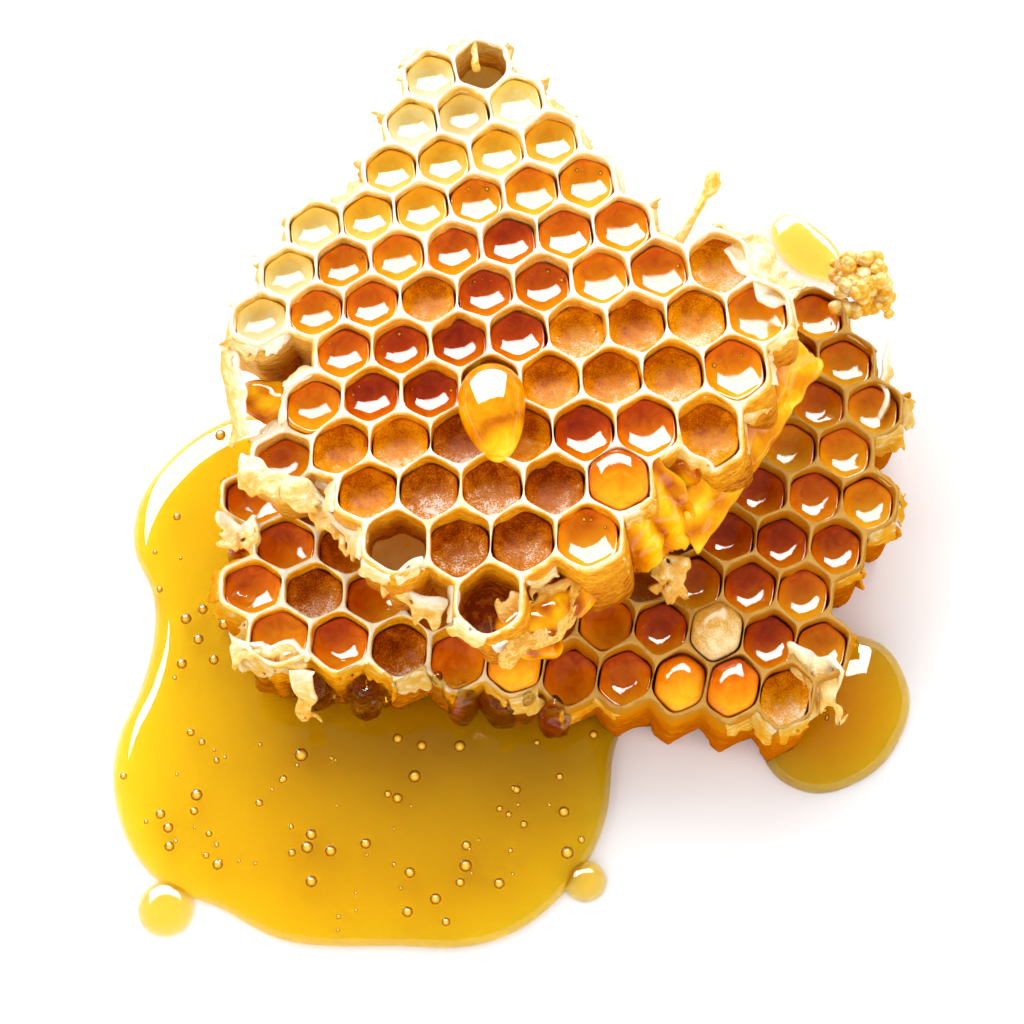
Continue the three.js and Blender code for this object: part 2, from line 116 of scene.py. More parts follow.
def add(tree, kind, settings=None, inputs=None, stops=()):
    """Adds a node, sets its settings, links or sets its inputs, and fills in its colour stops."""
    made = tree.nodes.new(kind)
    for name, value in (settings or {}).items():
        setattr(made, name, value)
    for name, value in (inputs or {}).items():
        if isinstance(value, bpy.types.NodeSocket):
            tree.links.new(value, made.inputs[name])
        else:
            made.inputs[name].default_value = value
    for number, (position, colour) in enumerate(stops):
        elements = made.color_ramp.elements
        element = elements[number] if number < len(elements) else elements.new(position)
        element.position = position
        element.color = linear(colour)
    return made


def new_material(name):
    material = bpy.data.materials.new(name)
    material.use_nodes = True
    material.node_tree.nodes.clear()
    return material, material.node_tree


# Clear honey, as it lies in a pool: a sugar syrup that drinks up blue and green light, so that it deepens
# from straw to amber with its thickness. Its surface is glossy and flat.
def clear_honey(name, tint, density):
    material, tree = new_material(name)
    shader = add(tree, "ShaderNodeBsdfPrincipled", inputs={
        "Base Color": (1, 1, 1, 1), "Transmission Weight": 1.0, "Roughness": 0.02, "IOR": 1.49})
    soaked = add(tree, "ShaderNodeVolumeAbsorption", inputs={"Color": linear(tint), "Density": density})
    add(tree, "ShaderNodeOutputMaterial",
        inputs={"Surface": shader.outputs["BSDF"], "Volume": soaked.outputs["Volume"]})
    return material


# Honey that fills a cell, with painted light and shade: its amber is painted darker on the far side of
# each cell and lighter on the near side, in place of light coming back through it from the wax behind.
# The surface is a glossy film of syrup. Where the honey has set, sugar grains roughen and pale it, and the
# palest specks, near white, are painted glints. The grains measure under 0.1 mm, too fine to show, and are
# drawn at 0.16 mm. The clouds are a quarter of a cell wide.
def cell_honey(name, stops, grain=0.0):
    material, tree = new_material(name)
    where = add(tree, "ShaderNodeTexCoord")
    # This attribute carries the painted light and shade of each piece of honey, with its tone that differs
    # at random
    painted_glow_and_tone = add(tree, "ShaderNodeAttribute", {"attribute_name": "painted_glow_and_tone"})
    clouds = add(tree, "ShaderNodeTexNoise", inputs={
        "Vector": where.outputs["Object"], "Scale": 1 / (1.5 * MM), "Detail": 4.0, "Roughness": 0.62,
        "Distortion": 0.8})
    grains = add(tree, "ShaderNodeTexNoise", inputs={
        "Vector": where.outputs["Object"], "Scale": 1 / (0.16 * MM), "Detail": 3.0, "Roughness": 0.7})
    cloudy = add(tree, "ShaderNodeMath", {"operation": "MULTIPLY_ADD"},
                 {0: clouds.outputs["Fac"], 1: 0.8 + grain, 2: -0.4 - 0.5 * grain})
    lit = add(tree, "ShaderNodeMath", {"operation": "ADD"}, {0: painted_glow_and_tone.outputs["Fac"], 1: cloudy.outputs[0]})
    # Specks of grain that reach the top of the colours show near white: painted glints
    speckled = add(tree, "ShaderNodeMath", {"operation": "MULTIPLY_ADD"},
                   {0: grains.outputs["Fac"], 1: 3.2 * grain, 2: -1.6 * grain})
    mixed = add(tree, "ShaderNodeMath", {"operation": "ADD", "use_clamp": True},
                {0: lit.outputs[0], 1: speckled.outputs[0]})
    colour = add(tree, "ShaderNodeValToRGB", inputs={"Fac": mixed.outputs[0]}, stops=stops)
    relief = add(tree, "ShaderNodeBump", inputs={
        "Height": grains.outputs["Fac"], "Strength": 0.01 + 0.35 * grain, "Distance": 0.14 * MM})
    shader = add(tree, "ShaderNodeBsdfPrincipled", inputs={
        "Base Color": colour.outputs["Color"], "Roughness": 0.03 + 0.12 * grain, "IOR": 1.5,
        "Specular IOR Level": max(0.04, 0.5 - grain), "Normal": relief.outputs["Normal"]})
    add(tree, "ShaderNodeOutputMaterial", inputs={"Surface": shader.outputs["BSDF"]})
    return material


# A bubble of air under the skin of the honey, with painted shade: its colour is painted by how squarely it
# faces the view, a dark brown rim where the rim would bend the light away, and a crown as bright as the
# honey round it.
def bubble_film(name):
    material, tree = new_material(name)
    # Painted shade: the colour darkens towards the rim as the surface turns away from the view
    edge = add(tree, "ShaderNodeLayerWeight", inputs={"Blend": 0.5})
    colour = add(tree, "ShaderNodeValToRGB", inputs={"Fac": edge.outputs["Facing"]}, stops=(
        (0.0, "#FFD24A"), (0.25, "#D08A10"), (0.5, "#7A4404"), (0.8, "#3A1E02"), (1.0, "#A06A10")))
    shader = add(tree, "ShaderNodeBsdfPrincipled", inputs={
        "Base Color": colour.outputs["Color"], "Roughness": 0.05, "IOR": 1.49})
    add(tree, "ShaderNodeOutputMaterial", inputs={"Surface": shader.outputs["BSDF"]})
    return material


# Beeswax: a cream, waxy solid that light soaks into. The bitten rims are nearly white and the walls below
# them are stained gold by the honey, in blotches of about 1.3 mm. The wax is mixed towards paler colours
# where its pale attribute is set. The walls carry bite marks about 1 mm long and a quarter as high.
def beeswax(name, stops, pale_stops, shine):
    material, tree = new_material(name)
    where = add(tree, "ShaderNodeTexCoord")
    depth = add(tree, "ShaderNodeAttribute", {"attribute_name": "depth"})
    pale = add(tree, "ShaderNodeAttribute", {"attribute_name": "pale"})
    blotches = add(tree, "ShaderNodeTexNoise", inputs={
        "Vector": where.outputs["Object"], "Scale": 1 / (1.3 * MM), "Detail": 4.0, "Roughness": 0.6})
    shift = add(tree, "ShaderNodeMath", {"operation": "MULTIPLY_ADD"},
                {0: blotches.outputs["Fac"], 1: 0.1, 2: -0.05})
    layered = add(tree, "ShaderNodeMapping",
                  inputs={"Vector": where.outputs["Object"], "Scale": (0.6, 0.6, 2.4)})
    ridges = add(tree, "ShaderNodeTexNoise", inputs={
        "Vector": layered.outputs["Vector"], "Scale": 1 / (0.6 * MM), "Detail": 4.0, "Roughness": 0.6})
    streaks = add(tree, "ShaderNodeMath", {"operation": "MULTIPLY_ADD"},
                  {0: ridges.outputs["Fac"], 1: 4.0, 2: -1.0})
    soaked = add(tree, "ShaderNodeMath", {"operation": "MULTIPLY"},
                 {0: depth.outputs["Fac"], 1: streaks.outputs[0]})
    stained = add(tree, "ShaderNodeMath", {"operation": "ADD", "use_clamp": True},
                  {0: soaked.outputs[0], 1: shift.outputs[0]})
    worked = add(tree, "ShaderNodeValToRGB", inputs={"Fac": stained.outputs[0]}, stops=stops)
    fresh = add(tree, "ShaderNodeValToRGB", inputs={"Fac": stained.outputs[0]}, stops=pale_stops)
    colour = add(tree, "ShaderNodeMix", {"data_type": "RGBA"}, {
        "Factor": pale.outputs["Fac"], 6: worked.outputs["Color"], 7: fresh.outputs["Color"]})
    relief = add(tree, "ShaderNodeBump", inputs={
        "Height": ridges.outputs["Fac"], "Strength": 0.8, "Distance": 0.35 * MM})
    shader = add(tree, "ShaderNodeBsdfPrincipled", inputs={
        "Base Color": colour.outputs[2], "Roughness": 0.38, "IOR": 1.44, "Specular IOR Level": shine,
        "Subsurface Weight": 0.2, "Subsurface Radius": (1.0, 0.8, 0.5), "Subsurface Scale": 0.8 * MM,
        "Normal": relief.outputs["Normal"]})
    add(tree, "ShaderNodeOutputMaterial", inputs={"Surface": shader.outputs["BSDF"]})
    return material


# Matt white card under the piece
def white_board():
    material, tree = new_material("white_board")
    shader = add(tree, "ShaderNodeBsdfPrincipled",
                 inputs={"Base Color": linear("#F9F9F9"), "Roughness": 0.9})
    add(tree, "ShaderNodeOutputMaterial", inputs={"Surface": shader.outputs["BSDF"]})
    return material


def finished(name, shape, materials, subdivision=0, smooth=True):
    """Turns a bmesh into an object, rides it on the piece's one body, and gives it its finish."""
    for face in shape.faces:
        face.smooth = smooth
    mesh = bpy.data.meshes.new(name)
    shape.to_mesh(mesh)
    shape.free()
    for material in materials:
        mesh.materials.append(material)
    made = bpy.data.objects.new(name, mesh)
    bpy.context.scene.collection.objects.link(made)
    if subdivision:
        modifier = made.modifiers.new("Smooth", "SUBSURF")
        modifier.levels = subdivision
        modifier.render_levels = subdivision
    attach(made, "root")
    return made


def cell_middle(layer, row, place):
    a = place - layer["middle_place"]
    b = (layer["middle_row"] - row) * ROW_STEP
    return Vector([
        layer["middle"][i] + layer["along"][i] * a + layer["across"][i] * b + layer["fan"][i] * a * b
        + layer["bow_along"][i] * a * a + layer["bow_across"][i] * b * b
        for i in (0, 1)
    ])


def cells_of(layer, fills):
    """Every cell of a layer, with its corners and what it holds."""
    cells = {}
    for row, (first, last) in enumerate(layer["rows"]):
        for step in range(int(last - first) + 1):
            place = first + step
            around = (
                (row, place + 1), (row - 1, place + 0.5), (row - 1, place - 0.5),
                (row, place - 1), (row + 1, place - 0.5), (row + 1, place + 0.5),
            )
            middle = cell_middle(layer, row, place)
            corners = [
                (middle + cell_middle(layer, *around[i]) + cell_middle(layer, *around[(i + 1) % 6])) / 3
                for i in range(6)
            ]
            cells[row, place] = {"middle": middle, "corners": corners, "around": around,
                                 "fill": fills[row][step], "shut": False}
    return cells


def rim_at(layer, x, y):
    wave = layer["wave"] * (1 + math.sin(x * 0.35 + y * 0.2) * math.cos(y * 0.3 - x * 0.1))
    broken = sum(depth * math.exp(-((x - tx) ** 2 + (y - ty) ** 2) / reach**2)
                 for tx, ty, reach, depth in layer["tears"])
    return layer["rim"] - wave - broken


def wall_points(cell):
    """The cell's outline, with the same points on a wall from both of its sides."""
    points = []
    for i in range(6):
        a, b = cell["corners"][i], cell["corners"][(i + 1) % 6]
        points += [a.lerp(b, step / POINTS_PER_WALL) for step in range(POINTS_PER_WALL)]
    return points


def sink(shape, faces, inset, drop, rounding=0.0, uneven=0.0):
    """Adds a ring inside each mouth: drawn in by the inset, lowered, and rounded off towards a circle."""
    bmesh.ops.inset_individual(shape, faces=faces, thickness=0)
    for face in faces:
        middle = face.calc_center_median()
        reach = sum((vert.co - middle).length for vert in face.verts) / len(face.verts)
        for vert in face.verts:
            ray = vert.co - middle
            length = ray.length + (reach - ray.length) * rounding
            lumps = noise.noise(vert.co / (0.9 * MM)) * uneven * MM
            vert.co = middle + ray.normalized() * (length * (1 - inset * MM / reach) - lumps)
            vert.co.z -= drop * MM


# The rings of a cell's inside, from the rim down: how far each is drawn in, how far it lies below the last,
# how much rounder than the last it is, and how uneven
CELL_RINGS = (
    (0.08, 0.0, 0.12, 0.12), (0.08, 0.14, 0.12, 0.1), (0.02, 0.3, 0, 0.1), (-0.05, 0.5, 0, 0.18),
    (0.05, 0.55, 0, 0.22), (-0.04, 0.65, 0, 0.18), (0.06, 1.9, 0, 0.1), (0.05, 3.0, 0, 0.1),
    (1.2, 0.6, 0, 0),
)
# The outer wall thickens in a lip this far below the rim, and then drops this far to its widest ring
LIP_DROP = 0.25
SWELL_DROP = 1.2
# How far the near right side of the upper layer leans out at its foot
FLARE = 3.0


def comb_walls(name, layer, cells, material, seed, pale, flare=None):
    """The wax of one layer: cups side by side, with a thick rim, thin walls and a floor."""
    shape = bmesh.new()
    index = shape.faces.layers.int.new("cell")
    listed = list(cells.values())
    for number, cell in enumerate(listed):
        verts = [shape.verts.new(placed(p.x, p.y, layer["rim"])) for p in wall_points(cell)]
        shape.faces.new(verts)[index] = number
    bmesh.ops.remove_doubles(shape, verts=shape.verts, dist=0.02 * MM)
    mouths = [face for face in shape.faces if not listed[face[index]]["shut"]]
    for ring in CELL_RINGS:
        sink(shape, mouths, *ring)
    border = [edge for edge in shape.edges if edge.is_boundary]
    outside = set()
    height = layer["rim"] - layer["floor"]
    steps = ((LIP_DROP, 0.28, 0), (SWELL_DROP, 0.15, 0.15), (height * 0.35, -0.1, 0.35),
             (height * 0.65 - LIP_DROP - SWELL_DROP, -0.15, 0.5))
    for drop, out, spread in steps:
        walls = bmesh.ops.extrude_edge_only(shape, edges=border)["geom"]
        for vert in walls:
            if not isinstance(vert, bmesh.types.BMVert):
                continue
            outside.add(vert)
            nearest = min(
                listed, key=lambda cell: (placed(*cell["middle"], 0).xy - vert.co.xy).length)
            away = (vert.co.xy - placed(*nearest["middle"], 0).xy).normalized()
            push = out
            if flare and away.dot(flare) > 0.3:
                push += spread * FLARE * (away.dot(flare) - 0.3)
            vert.co += Vector((away.x, away.y, 0)) * push * MM
            vert.co.z -= drop * MM
        border = [g for g in walls if isinstance(g, bmesh.types.BMEdge) and g.is_boundary]
    under = bmesh.ops.holes_fill(shape, edges=border, sides=0)["faces"]
    bmesh.ops.triangulate(shape, faces=under)
    bmesh.ops.recalc_face_normals(shape, faces=shape.faces)
    depths = shape.verts.layers.float.new("depth")
    paleness = shape.verts.layers.float.new("pale")
    for vert in shape.verts:
        below = layer["rim"] - vert.co.z / MM
        vert[depths] = min(0.15, below / 9) if vert in outside else min(1.0, below / 6)
        x, y = vert.co.x / MM + ORIGIN.x, vert.co.y / MM + ORIGIN.y
        vert[paleness] = max(pale(x, y), 0.7 if vert in outside else 0)
        fade = max(0.0, 1 - below / 9)
        vert.co.z -= (layer["rim"] - rim_at(layer, x, y)) * MM * fade
        wobble = noise.noise_vector(Vector((x, y, vert.co.z / MM)) * 0.55 + Vector((seed, 0, 0)))
        vert.co += wobble * (0.45 if vert in outside else 0.16) * MM
        vert.co.z += noise.noise(Vector((x, y, seed)) * 1.3) * 0.22 * MM * fade
        if below < 1:
            fray = noise.noise_vector(Vector((x, y, seed)) * 1.5)
            vert.co += Vector((fray.x, fray.y, 0)) * 0.09 * MM
    return finished(name, shape, [material], 1)


# How far below the rim each kind of filling stands, and whether it bulges
FILLS = {"p": 1.7, "y": 1.8, "g": 1.8, "a": 2.05, "r": 2.3, "s": 2.0, "b": 2.2, "o": 0.3, "c": 0.1, "e": 5.5}
BULGING = "oc"
# The honey's sides lie this far inside the middle of the wall, and its foot this far above the layer's floor
HONEY_GAP = 0.2
HONEY_FOOT = 1.6
# How the surface curves up to the walls: each ring is drawn in and lies lower than the one outside it
MENISCUS = ((0.14, 0.3), (0.3, 0.26), (0.45, 0.27), (0.5, 0.2), (0.45, 0.1))
MENISCUS_RISE = 0.75


def honey_in(name, layer, cells, kinds, material, seed):
    """Honey in the cells that hold one kind, each with a surface that curves up to the walls."""
    shape = bmesh.new()
    painted_glow_and_tone = shape.verts.layers.float.new("painted_glow_and_tone")
    listed = [cell for cell in cells.values() if cell["fill"] in kinds and not cell["shut"]]
    draws = random.Random(seed)
    for cell in listed:
        level = rim_at(layer, *cell["middle"]) - FILLS[cell["fill"]] + draws.uniform(-0.3, 0.3)
        bulge = cell["fill"] in BULGING
        apothem = min((cell["corners"][i].lerp(cell["corners"][(i + 1) % 6], 0.5) - cell["middle"]).length
                      for i in range(6))
        points = [cell["middle"].lerp(p, 1 - HONEY_GAP / apothem) for p in wall_points(cell)]
        verts = [shape.verts.new(placed(p.x, p.y, layer["floor"] + HONEY_FOOT)) for p in points]
        bottom = shape.faces.new(verts)
        side = bmesh.ops.extrude_face_region(shape, geom=[bottom])["geom"]
        top = next(g for g in side if isinstance(g, bmesh.types.BMFace))
        rings = [set(top.verts)]
        for vert in top.verts:
            vert.co.z = (level + (0 if bulge else MENISCUS_RISE)) * MM
        for inset, drop in MENISCUS:
            sink(shape, [top], inset, -1.2 * drop if bulge else drop, 0.35)
            rings.append(set(top.verts))
            for vert in top.verts:
                vert.co += Vector((-0.5, 1, 0)) * layer["lean"] * MM
        # Painted light and shade: the honey is painted lighter towards each cell's near side and darker
        # towards its far side, and its two outer rings along the walls are painted darker as shade. The tone
        # differs at random from cell to cell.
        tone = draws.uniform(-0.12, 0.12)
        middle = placed(*cell["middle"], 0)
        for number, ring in enumerate(rings):
            for vert in ring:
                away = (vert.co - middle) / MM
                shade = 0.22 if number < 2 else 0.0
                vert[painted_glow_and_tone] = 0.5 + tone + (0.25 * away.x - away.y) * 0.17 - shade
    bmesh.ops.recalc_face_normals(shape, faces=shape.faces)
    return finished(name, shape, [material], 1)


def smooth_ring(points, count):
    """A closed smooth curve through given points, as evenly stepped places."""
    curve = []
    total = len(points)
    for i in range(total):
        p0, p1, p2, p3 = (Vector(points[(i + k) % total]) for k in (-1, 0, 1, 2))
        for step in range(12):
            t = step / 12
            curve.append(0.5 * ((2 * p1) + (p2 - p0) * t + (2 * p0 - 5 * p1 + 4 * p2 - p3) * t * t
                                + (3 * p1 - p0 - 3 * p2 + p3) * t**3))
    lengths = [0.0]
    for i in range(len(curve)):
        lengths.append(lengths[-1] + (curve[(i + 1) % len(curve)] - curve[i]).length)
    ring = []
    at = 0
    for k in range(count):
        goal = lengths[-1] * k / count
        while lengths[at + 1] < goal:
            at += 1
        share = (goal - lengths[at]) / (lengths[at + 1] - lengths[at])
        ring.append(curve[at].lerp(curve[(at + 1) % len(curve)], share))
    return ring


POOL_OUTLINE = (
    (-25.5, 13.5), (-29.8, 11.9), (-33.5, 8.6), (-35.9, 4.5), (-36.2, -0.1), (-34.2, -4.8), (-34, -9.6),
    (-35.1, -14.5), (-36.8, -18.9), (-37.1, -23.7), (-35.3, -29.3), (-31.8, -33.1), (-27.1, -34.9),
    (-20.2, -38.2), (-10.2, -38.6), (-3.8, -38.6), (1.6, -36.5), (6.2, -31.9), (8.6, -27), (9.3, -21.7),
    (9.2, -14), (-4, -6), (-17, 4), (-20, 12),
)
POOL_MIDDLE = (-15, -17)
RIGHT_OUTLINE = ((22.7, -16.6), (25.6, -11.4), (30.2, -8.8), (35, -9.8), (37.2, -13.5), (37, -17.4),
                 (34, -22), (28.6, -24.3), (24.2, -22.2))
FAR_OUTLINE = ((25.9, 33.9), (27.9, 35.2), (31.6, 32.6), (33.2, 29.4), (32.2, 27.8), (28.5, 28.9),
               (26.4, 31.2))
# How far in from its edge towards its middle each ring of a puddle's top lies
PUDDLE_RINGS = (0.004, 0.012, 0.025, 0.045, 0.07, 0.1, 0.14, 0.2, 0.28, 0.38, 0.5, 0.62, 0.74, 0.86, 0.95)


def puddle(name, outline, centre, depth_at, edge, material, wave=0.0, count=144):
    """Honey on the floor: a flat underside, and a top that curves up from the edge and levels off."""
    shape = bmesh.new()
    middle = placed(*centre, 0)
    outer = [placed(p.x, p.y, 0) for p in smooth_ring(outline, count)]
    bottom = shape.faces.new([shape.verts.new(p) for p in outer])
    side = bmesh.ops.extrude_face_region(shape, geom=[bottom])["geom"]
    top = next(g for g in side if isinstance(g, bmesh.types.BMFace))
    last = 0.0
    for share in PUDDLE_RINGS:
        bmesh.ops.inset_individual(shape, faces=[top], thickness=0)
        for vert in top.verts:
            ray = (vert.co - middle).xy / (1 - last)
            vert.co.x = middle.x + ray.x * (1 - share)
            vert.co.y = middle.y + ray.y * (1 - share)
            climb = min(1.0, share * ray.length / (edge * MM))
            sway = noise.noise(Vector((vert.co.x, vert.co.y, 0)) / (9 * MM)) * wave * climb
            depth = depth_at(vert.co.x / MM + ORIGIN.x)
            vert.co.z = (depth * math.sqrt(1 - (1 - climb) ** 2) + sway) * MM
        last = share
    bmesh.ops.poke(shape, faces=[top])
    bmesh.ops.recalc_face_normals(shape, faces=shape.faces)
    return finished(name, shape, [material])


def pool_depth(x):
    """The pool is thinner towards its left side."""
    return 2.2 - 0.75 * min(1.0, max(0.0, (-20 - x) / 16))


def ball(shape, x, y, z, rx, ry, rz, segments=24):
    made = bmesh.ops.create_uvsphere(shape, u_segments=segments, v_segments=segments // 2, radius=1)
    at = Matrix.Translation(placed(x, y, z)) @ Matrix.Diagonal((rx * MM, ry * MM, rz * MM, 1))
    bmesh.ops.transform(shape, matrix=at, verts=made["verts"])
    return made["verts"]


def from_middle(vert, middle):
    """How far a point lies from a piece's middle, in millimetres."""
    return vert.co / MM + Vector((ORIGIN.x - middle[0], ORIGIN.y - middle[1], -middle[2]))


def roughen(verts, size, strength, seed):
    """Moves points by noise whose lumps have the given size, in millimetres."""
    for vert in verts:
        vert.co += noise.noise_vector(vert.co / (size * MM) + Vector((seed * 7.3, 0, 0))) * strength * MM


def smooth_line(points, steps):
    """A smooth open curve through places that may carry a radius as a fourth number."""
    line = []
    for i in range(len(points) - 1):
        p0, p1, p2, p3 = (Vector(points[min(max(i + k, 0), len(points) - 1)]) for k in (-1, 0, 1, 2))
        for step in range(steps + (i == len(points) - 2)):
            t = step / steps
            line.append(0.5 * ((2 * p1) + (p2 - p0) * t + (2 * p0 - 5 * p1 + 4 * p2 - p3) * t * t
                               + (3 * p1 - p0 - 3 * p2 + p3) * t**3))
    return line


def strand(shape, path, steps=4, sides=14):
    """A rounded strand along a path of places with radii, closed by domed ends."""
    line = smooth_line(path, steps)
    rings = []
    for i, point in enumerate(line):
        ahead = line[min(i + 1, len(line) - 1)] - line[max(i - 1, 0)]
        turn = Vector(ahead[:3]).to_track_quat("Z", "Y").to_matrix().to_4x4()
        made = bmesh.ops.create_circle(
            shape, cap_ends=False, segments=sides, radius=max(point[3], 0.05) * MM)
        at = Matrix.Translation(placed(*point[:3])) @ turn
        bmesh.ops.transform(shape, matrix=at, verts=made["verts"])
        rings.append(list(dict.fromkeys(edge for vert in made["verts"] for edge in vert.link_edges)))
    for one, other in zip(rings, rings[1:]):
        bmesh.ops.bridge_loops(shape, edges=one + other)
    for ring in (rings[0], rings[-1]):
        cap = bmesh.ops.edgeloop_fill(shape, edges=ring)["faces"]
        bmesh.ops.poke(shape, faces=cap)


def sheet(shape, corners, columns, rows, ragged, lumps, seed, stain=(0.0, 0.1), holes=0):
    """A torn skin between four corners, ragged along three sides, with a few holes broken through."""
    depth = shape.verts.layers.float.get("depth") or shape.verts.layers.float.new("depth")
    paleness = shape.verts.layers.float.get("pale") or shape.verts.layers.float.new("pale")
    made = bmesh.ops.create_grid(shape, x_segments=columns, y_segments=rows, size=1)["verts"]
    a, b, c, d = (placed(*corner) for corner in corners)
    out = ((d - a) + (c - b)).normalized()
    inner = []
    for vert in made:
        u, t = (vert.co.x + 1) / 2, (vert.co.y + 1) / 2
        if 0.01 < u < 0.99 and 0.01 < t < 0.99:
            inner.append(vert)
        jag = noise.noise(Vector((u * columns * 0.8, seed * 3.1, 0))) * ragged * t * t
        fray = noise.noise(Vector((t * rows * 0.8, seed * 5.7, round(u)))) * ragged * (2 * u - 1) ** 3 * t
        vert.co = a.lerp(b, u).lerp(d.lerp(c, u), t) + (out * jag + (b - a).normalized() * fray) * MM
        vert[depth] = stain[0] + (stain[1] - stain[0]) * t
        vert[paleness] = 0.5
    roughen(made, 1.6, lumps, seed)
    draws = random.Random(seed)
    for vert in draws.sample(inner, min(holes, len(inner))):
        if vert.is_valid:
            bmesh.ops.delete(shape, geom=[draws.choice(vert.link_faces)], context="FACES")


def skin(name, shape, material, thickness):
    """Finishes sheets: gives them their thickness and rounds them."""
    made = finished(name, shape, [material])
    wall = made.modifiers.new("Thickness", "SOLIDIFY")
    wall.thickness = thickness * MM
    wall.offset = 0
    round_off = made.modifiers.new("Smooth", "SUBSURF")
    round_off.levels = 1
    round_off.render_levels = 1
    return made


# The tips of torn walls stay this far from the middle of any cell, so that they don't poke into one
TIP_CLEARANCE = 2.7


def torn_edges(shape, layer, cells, seed, share, reach, tall, stain):
    """Skins of wax that hang from the comb where the next cells broke away, and stumps of their walls."""
    draws = random.Random(seed)
    for (row, place), cell in cells.items():
        for i, neighbour in enumerate(cell["around"]):
            if neighbour in cells:
                continue
            start, finish = cell["corners"][i - 1], cell["corners"][i]
            outward = (start.lerp(finish, 0.5) - cell["middle"]).normalized()
            top = rim_at(layer, *start) - draws.uniform(0.2, 0.7)
            if draws.random() < share:
                out = outward * draws.uniform(*reach)
                low = draws.uniform(0.3, 2.6)
                tips = (finish + out * draws.uniform(0.5, 1), start + out * draws.uniform(0.5, 1))
                sheet(shape, ((*start, top), (*finish, top), (*tips[0], top - low), (*tips[1], top - low)),
                      9, 5, 1.3, 0.45, draws.randrange(1000), (stain[0], draws.uniform(*stain)),
                      draws.choice((0, 0, 1, 2)))
            if draws.random() < share * 0.6:
                length = draws.uniform(*reach) * 0.7
                goal = finish + (outward + (finish - start).normalized() * 0.5).normalized() * length
                if any((other["middle"] - goal).length < TIP_CLEARANCE for other in cells.values()):
                    continue
                foot = top - draws.uniform(*tall)
                sheet(shape, ((*finish, foot), (*finish, top), (*goal, top - draws.uniform(0.3, 1.5)),
                              (*goal, foot + draws.uniform(0.5, 1.5))),
                      6, 4, 1.0, 0.4, draws.randrange(1000), (stain[0], stain[1]))


upper_cells = cells_of(UPPER, UPPER_FILL)
lower_cells = cells_of(LOWER, LOWER_FILL)
# A cell of the lower layer is shut where cells of the upper layer lie over the whole of it
covered = UPPER["along"][0] * 0.58
for cell in lower_cells.values():
    cell["shut"] = all(
        any((upper["middle"] - point).length < covered for upper in upper_cells.values())
        for point in (cell["middle"], *cell["corners"])
    )

# The colours of the wax from the rim down, and of the honey from its painted shade on the far side to its
# painted light on the near side
GOLD_WAX = ((0.0, "#FFF6DC"), (0.025, "#FDDA7C"), (0.055, "#FCBC28"), (0.11, "#F09E0C"), (0.2, "#D88004"),
            (0.32, "#FFBE1C"), (0.5, "#C87200"), (0.7, "#F09C08"), (1.0, "#B05800"))
PALE_WAX = ((0.0, "#FFFAEC"), (0.04, "#FDE8B0"), (0.1, "#F8CC60"), (0.2, "#E4AC34"), (0.34, "#FFE290"),
            (0.5, "#ECB43C"), (1.0, "#DA9A22"))
TAN_WAX = ((0.0, "#CC9E50"), (0.035, "#B88030"), (0.09, "#C07C14"), (0.3, "#CC7806"), (1.0, "#B05400"))
fresh_wax = beeswax("beeswax_fresh", GOLD_WAX, PALE_WAX, 0.3)
stained_wax = beeswax("beeswax_stained", TAN_WAX, GOLD_WAX, 0.0)
HONEYS = {
    "pale": ("pe", ((0.0, "#FFD458"), (0.5, "#FFEFA8"), (1.0, "#FFFFF4")), 0.05),
    "yellow": ("y", ((0.0, "#F8A400"), (0.45, "#FFCC38"), (1.0, "#FFEC90")), 0.0),
    "golden": ("g", ((0.0, "#E06800"), (0.45, "#FFA200"), (1.0, "#FFD23A")), 0.04),
    "amber": ("ao", ((0.0, "#C04200"), (0.45, "#F88400"), (1.0, "#FFC020")), 0.0),
    "red": ("r", ((0.0, "#A02C00"), (0.45, "#DC5800"), (1.0, "#FFA410")), 0.0),
    "set_gold": ("s", ((0.0, "#B85400"), (0.4, "#F09400"), (0.75, "#FFB814"), (1.0, "#FFF6D0")), 0.5),
    "set_brown": ("b", ((0.0, "#843000"), (0.4, "#C46400"), (0.8, "#E09418"), (1.0, "#FFF6EC")), 0.6),
    "capping": ("c", ((0.0, "#A86C1C"), (0.5, "#D8A040"), (1.0, "#F8E4B0")), 0.3),
}
pooled = clear_honey("honey_pooled", "#FCF313", 1500)
straw = clear_honey("honey_straw", "#FBEA5A", 1100)
flowing = cell_honey(
    "honey_flowing", ((0.0, "#B85000"), (0.4, "#F09600"), (0.75, "#FFC410"), (1.0, "#FFE840")))
bubble = bubble_film("honey_bubble")


def upper_paleness(x, y):
    """The upper wax is palest at its far tip and along its left edge."""
    return min(1.0, max(0.0, (y - 12) / 16) + max(0.0, (-14 - x) / 12))


def lower_paleness(x, y):
    """The lower wax is palest towards the left."""
    return min(1.0, max(0.0, (4 - x) / 16))


upper_wax = comb_walls("upper_comb_walls", UPPER, upper_cells, fresh_wax, 3, upper_paleness,
                       Vector((0.75, -0.66)))
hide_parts("upper_wax")
lower_wax = comb_walls("lower_comb_walls", LOWER, lower_cells, stained_wax, 9, lower_paleness)
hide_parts("lower_wax")

for label, (kinds, stops, grain) in HONEYS.items():
    finish = cell_honey(f"honey_{label}", stops, grain)
    if label != "capping":
        honey = honey_in(f"upper_honey_{label}", UPPER, upper_cells, kinds, finish, 5)
        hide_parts("upper_honey")
    if label not in ("pale", "yellow"):
        honey = honey_in(f"lower_honey_{label}", LOWER, lower_cells, kinds, finish, 6)
        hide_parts("lower_honey")

pool = puddle("pool_honey", POOL_OUTLINE, POOL_MIDDLE, pool_depth, 2.4, pooled, 0.07)
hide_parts("honey_pool")
right = puddle("right_drop_honey", RIGHT_OUTLINE, (29.8, -16.2), lambda x: 3.6, 6.5, pooled)
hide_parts("right_drop")
far = puddle("far_drop_honey", FAR_OUTLINE, (29.8, 31.5), lambda x: 1.2, 1.1, straw)
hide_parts("far_drop")
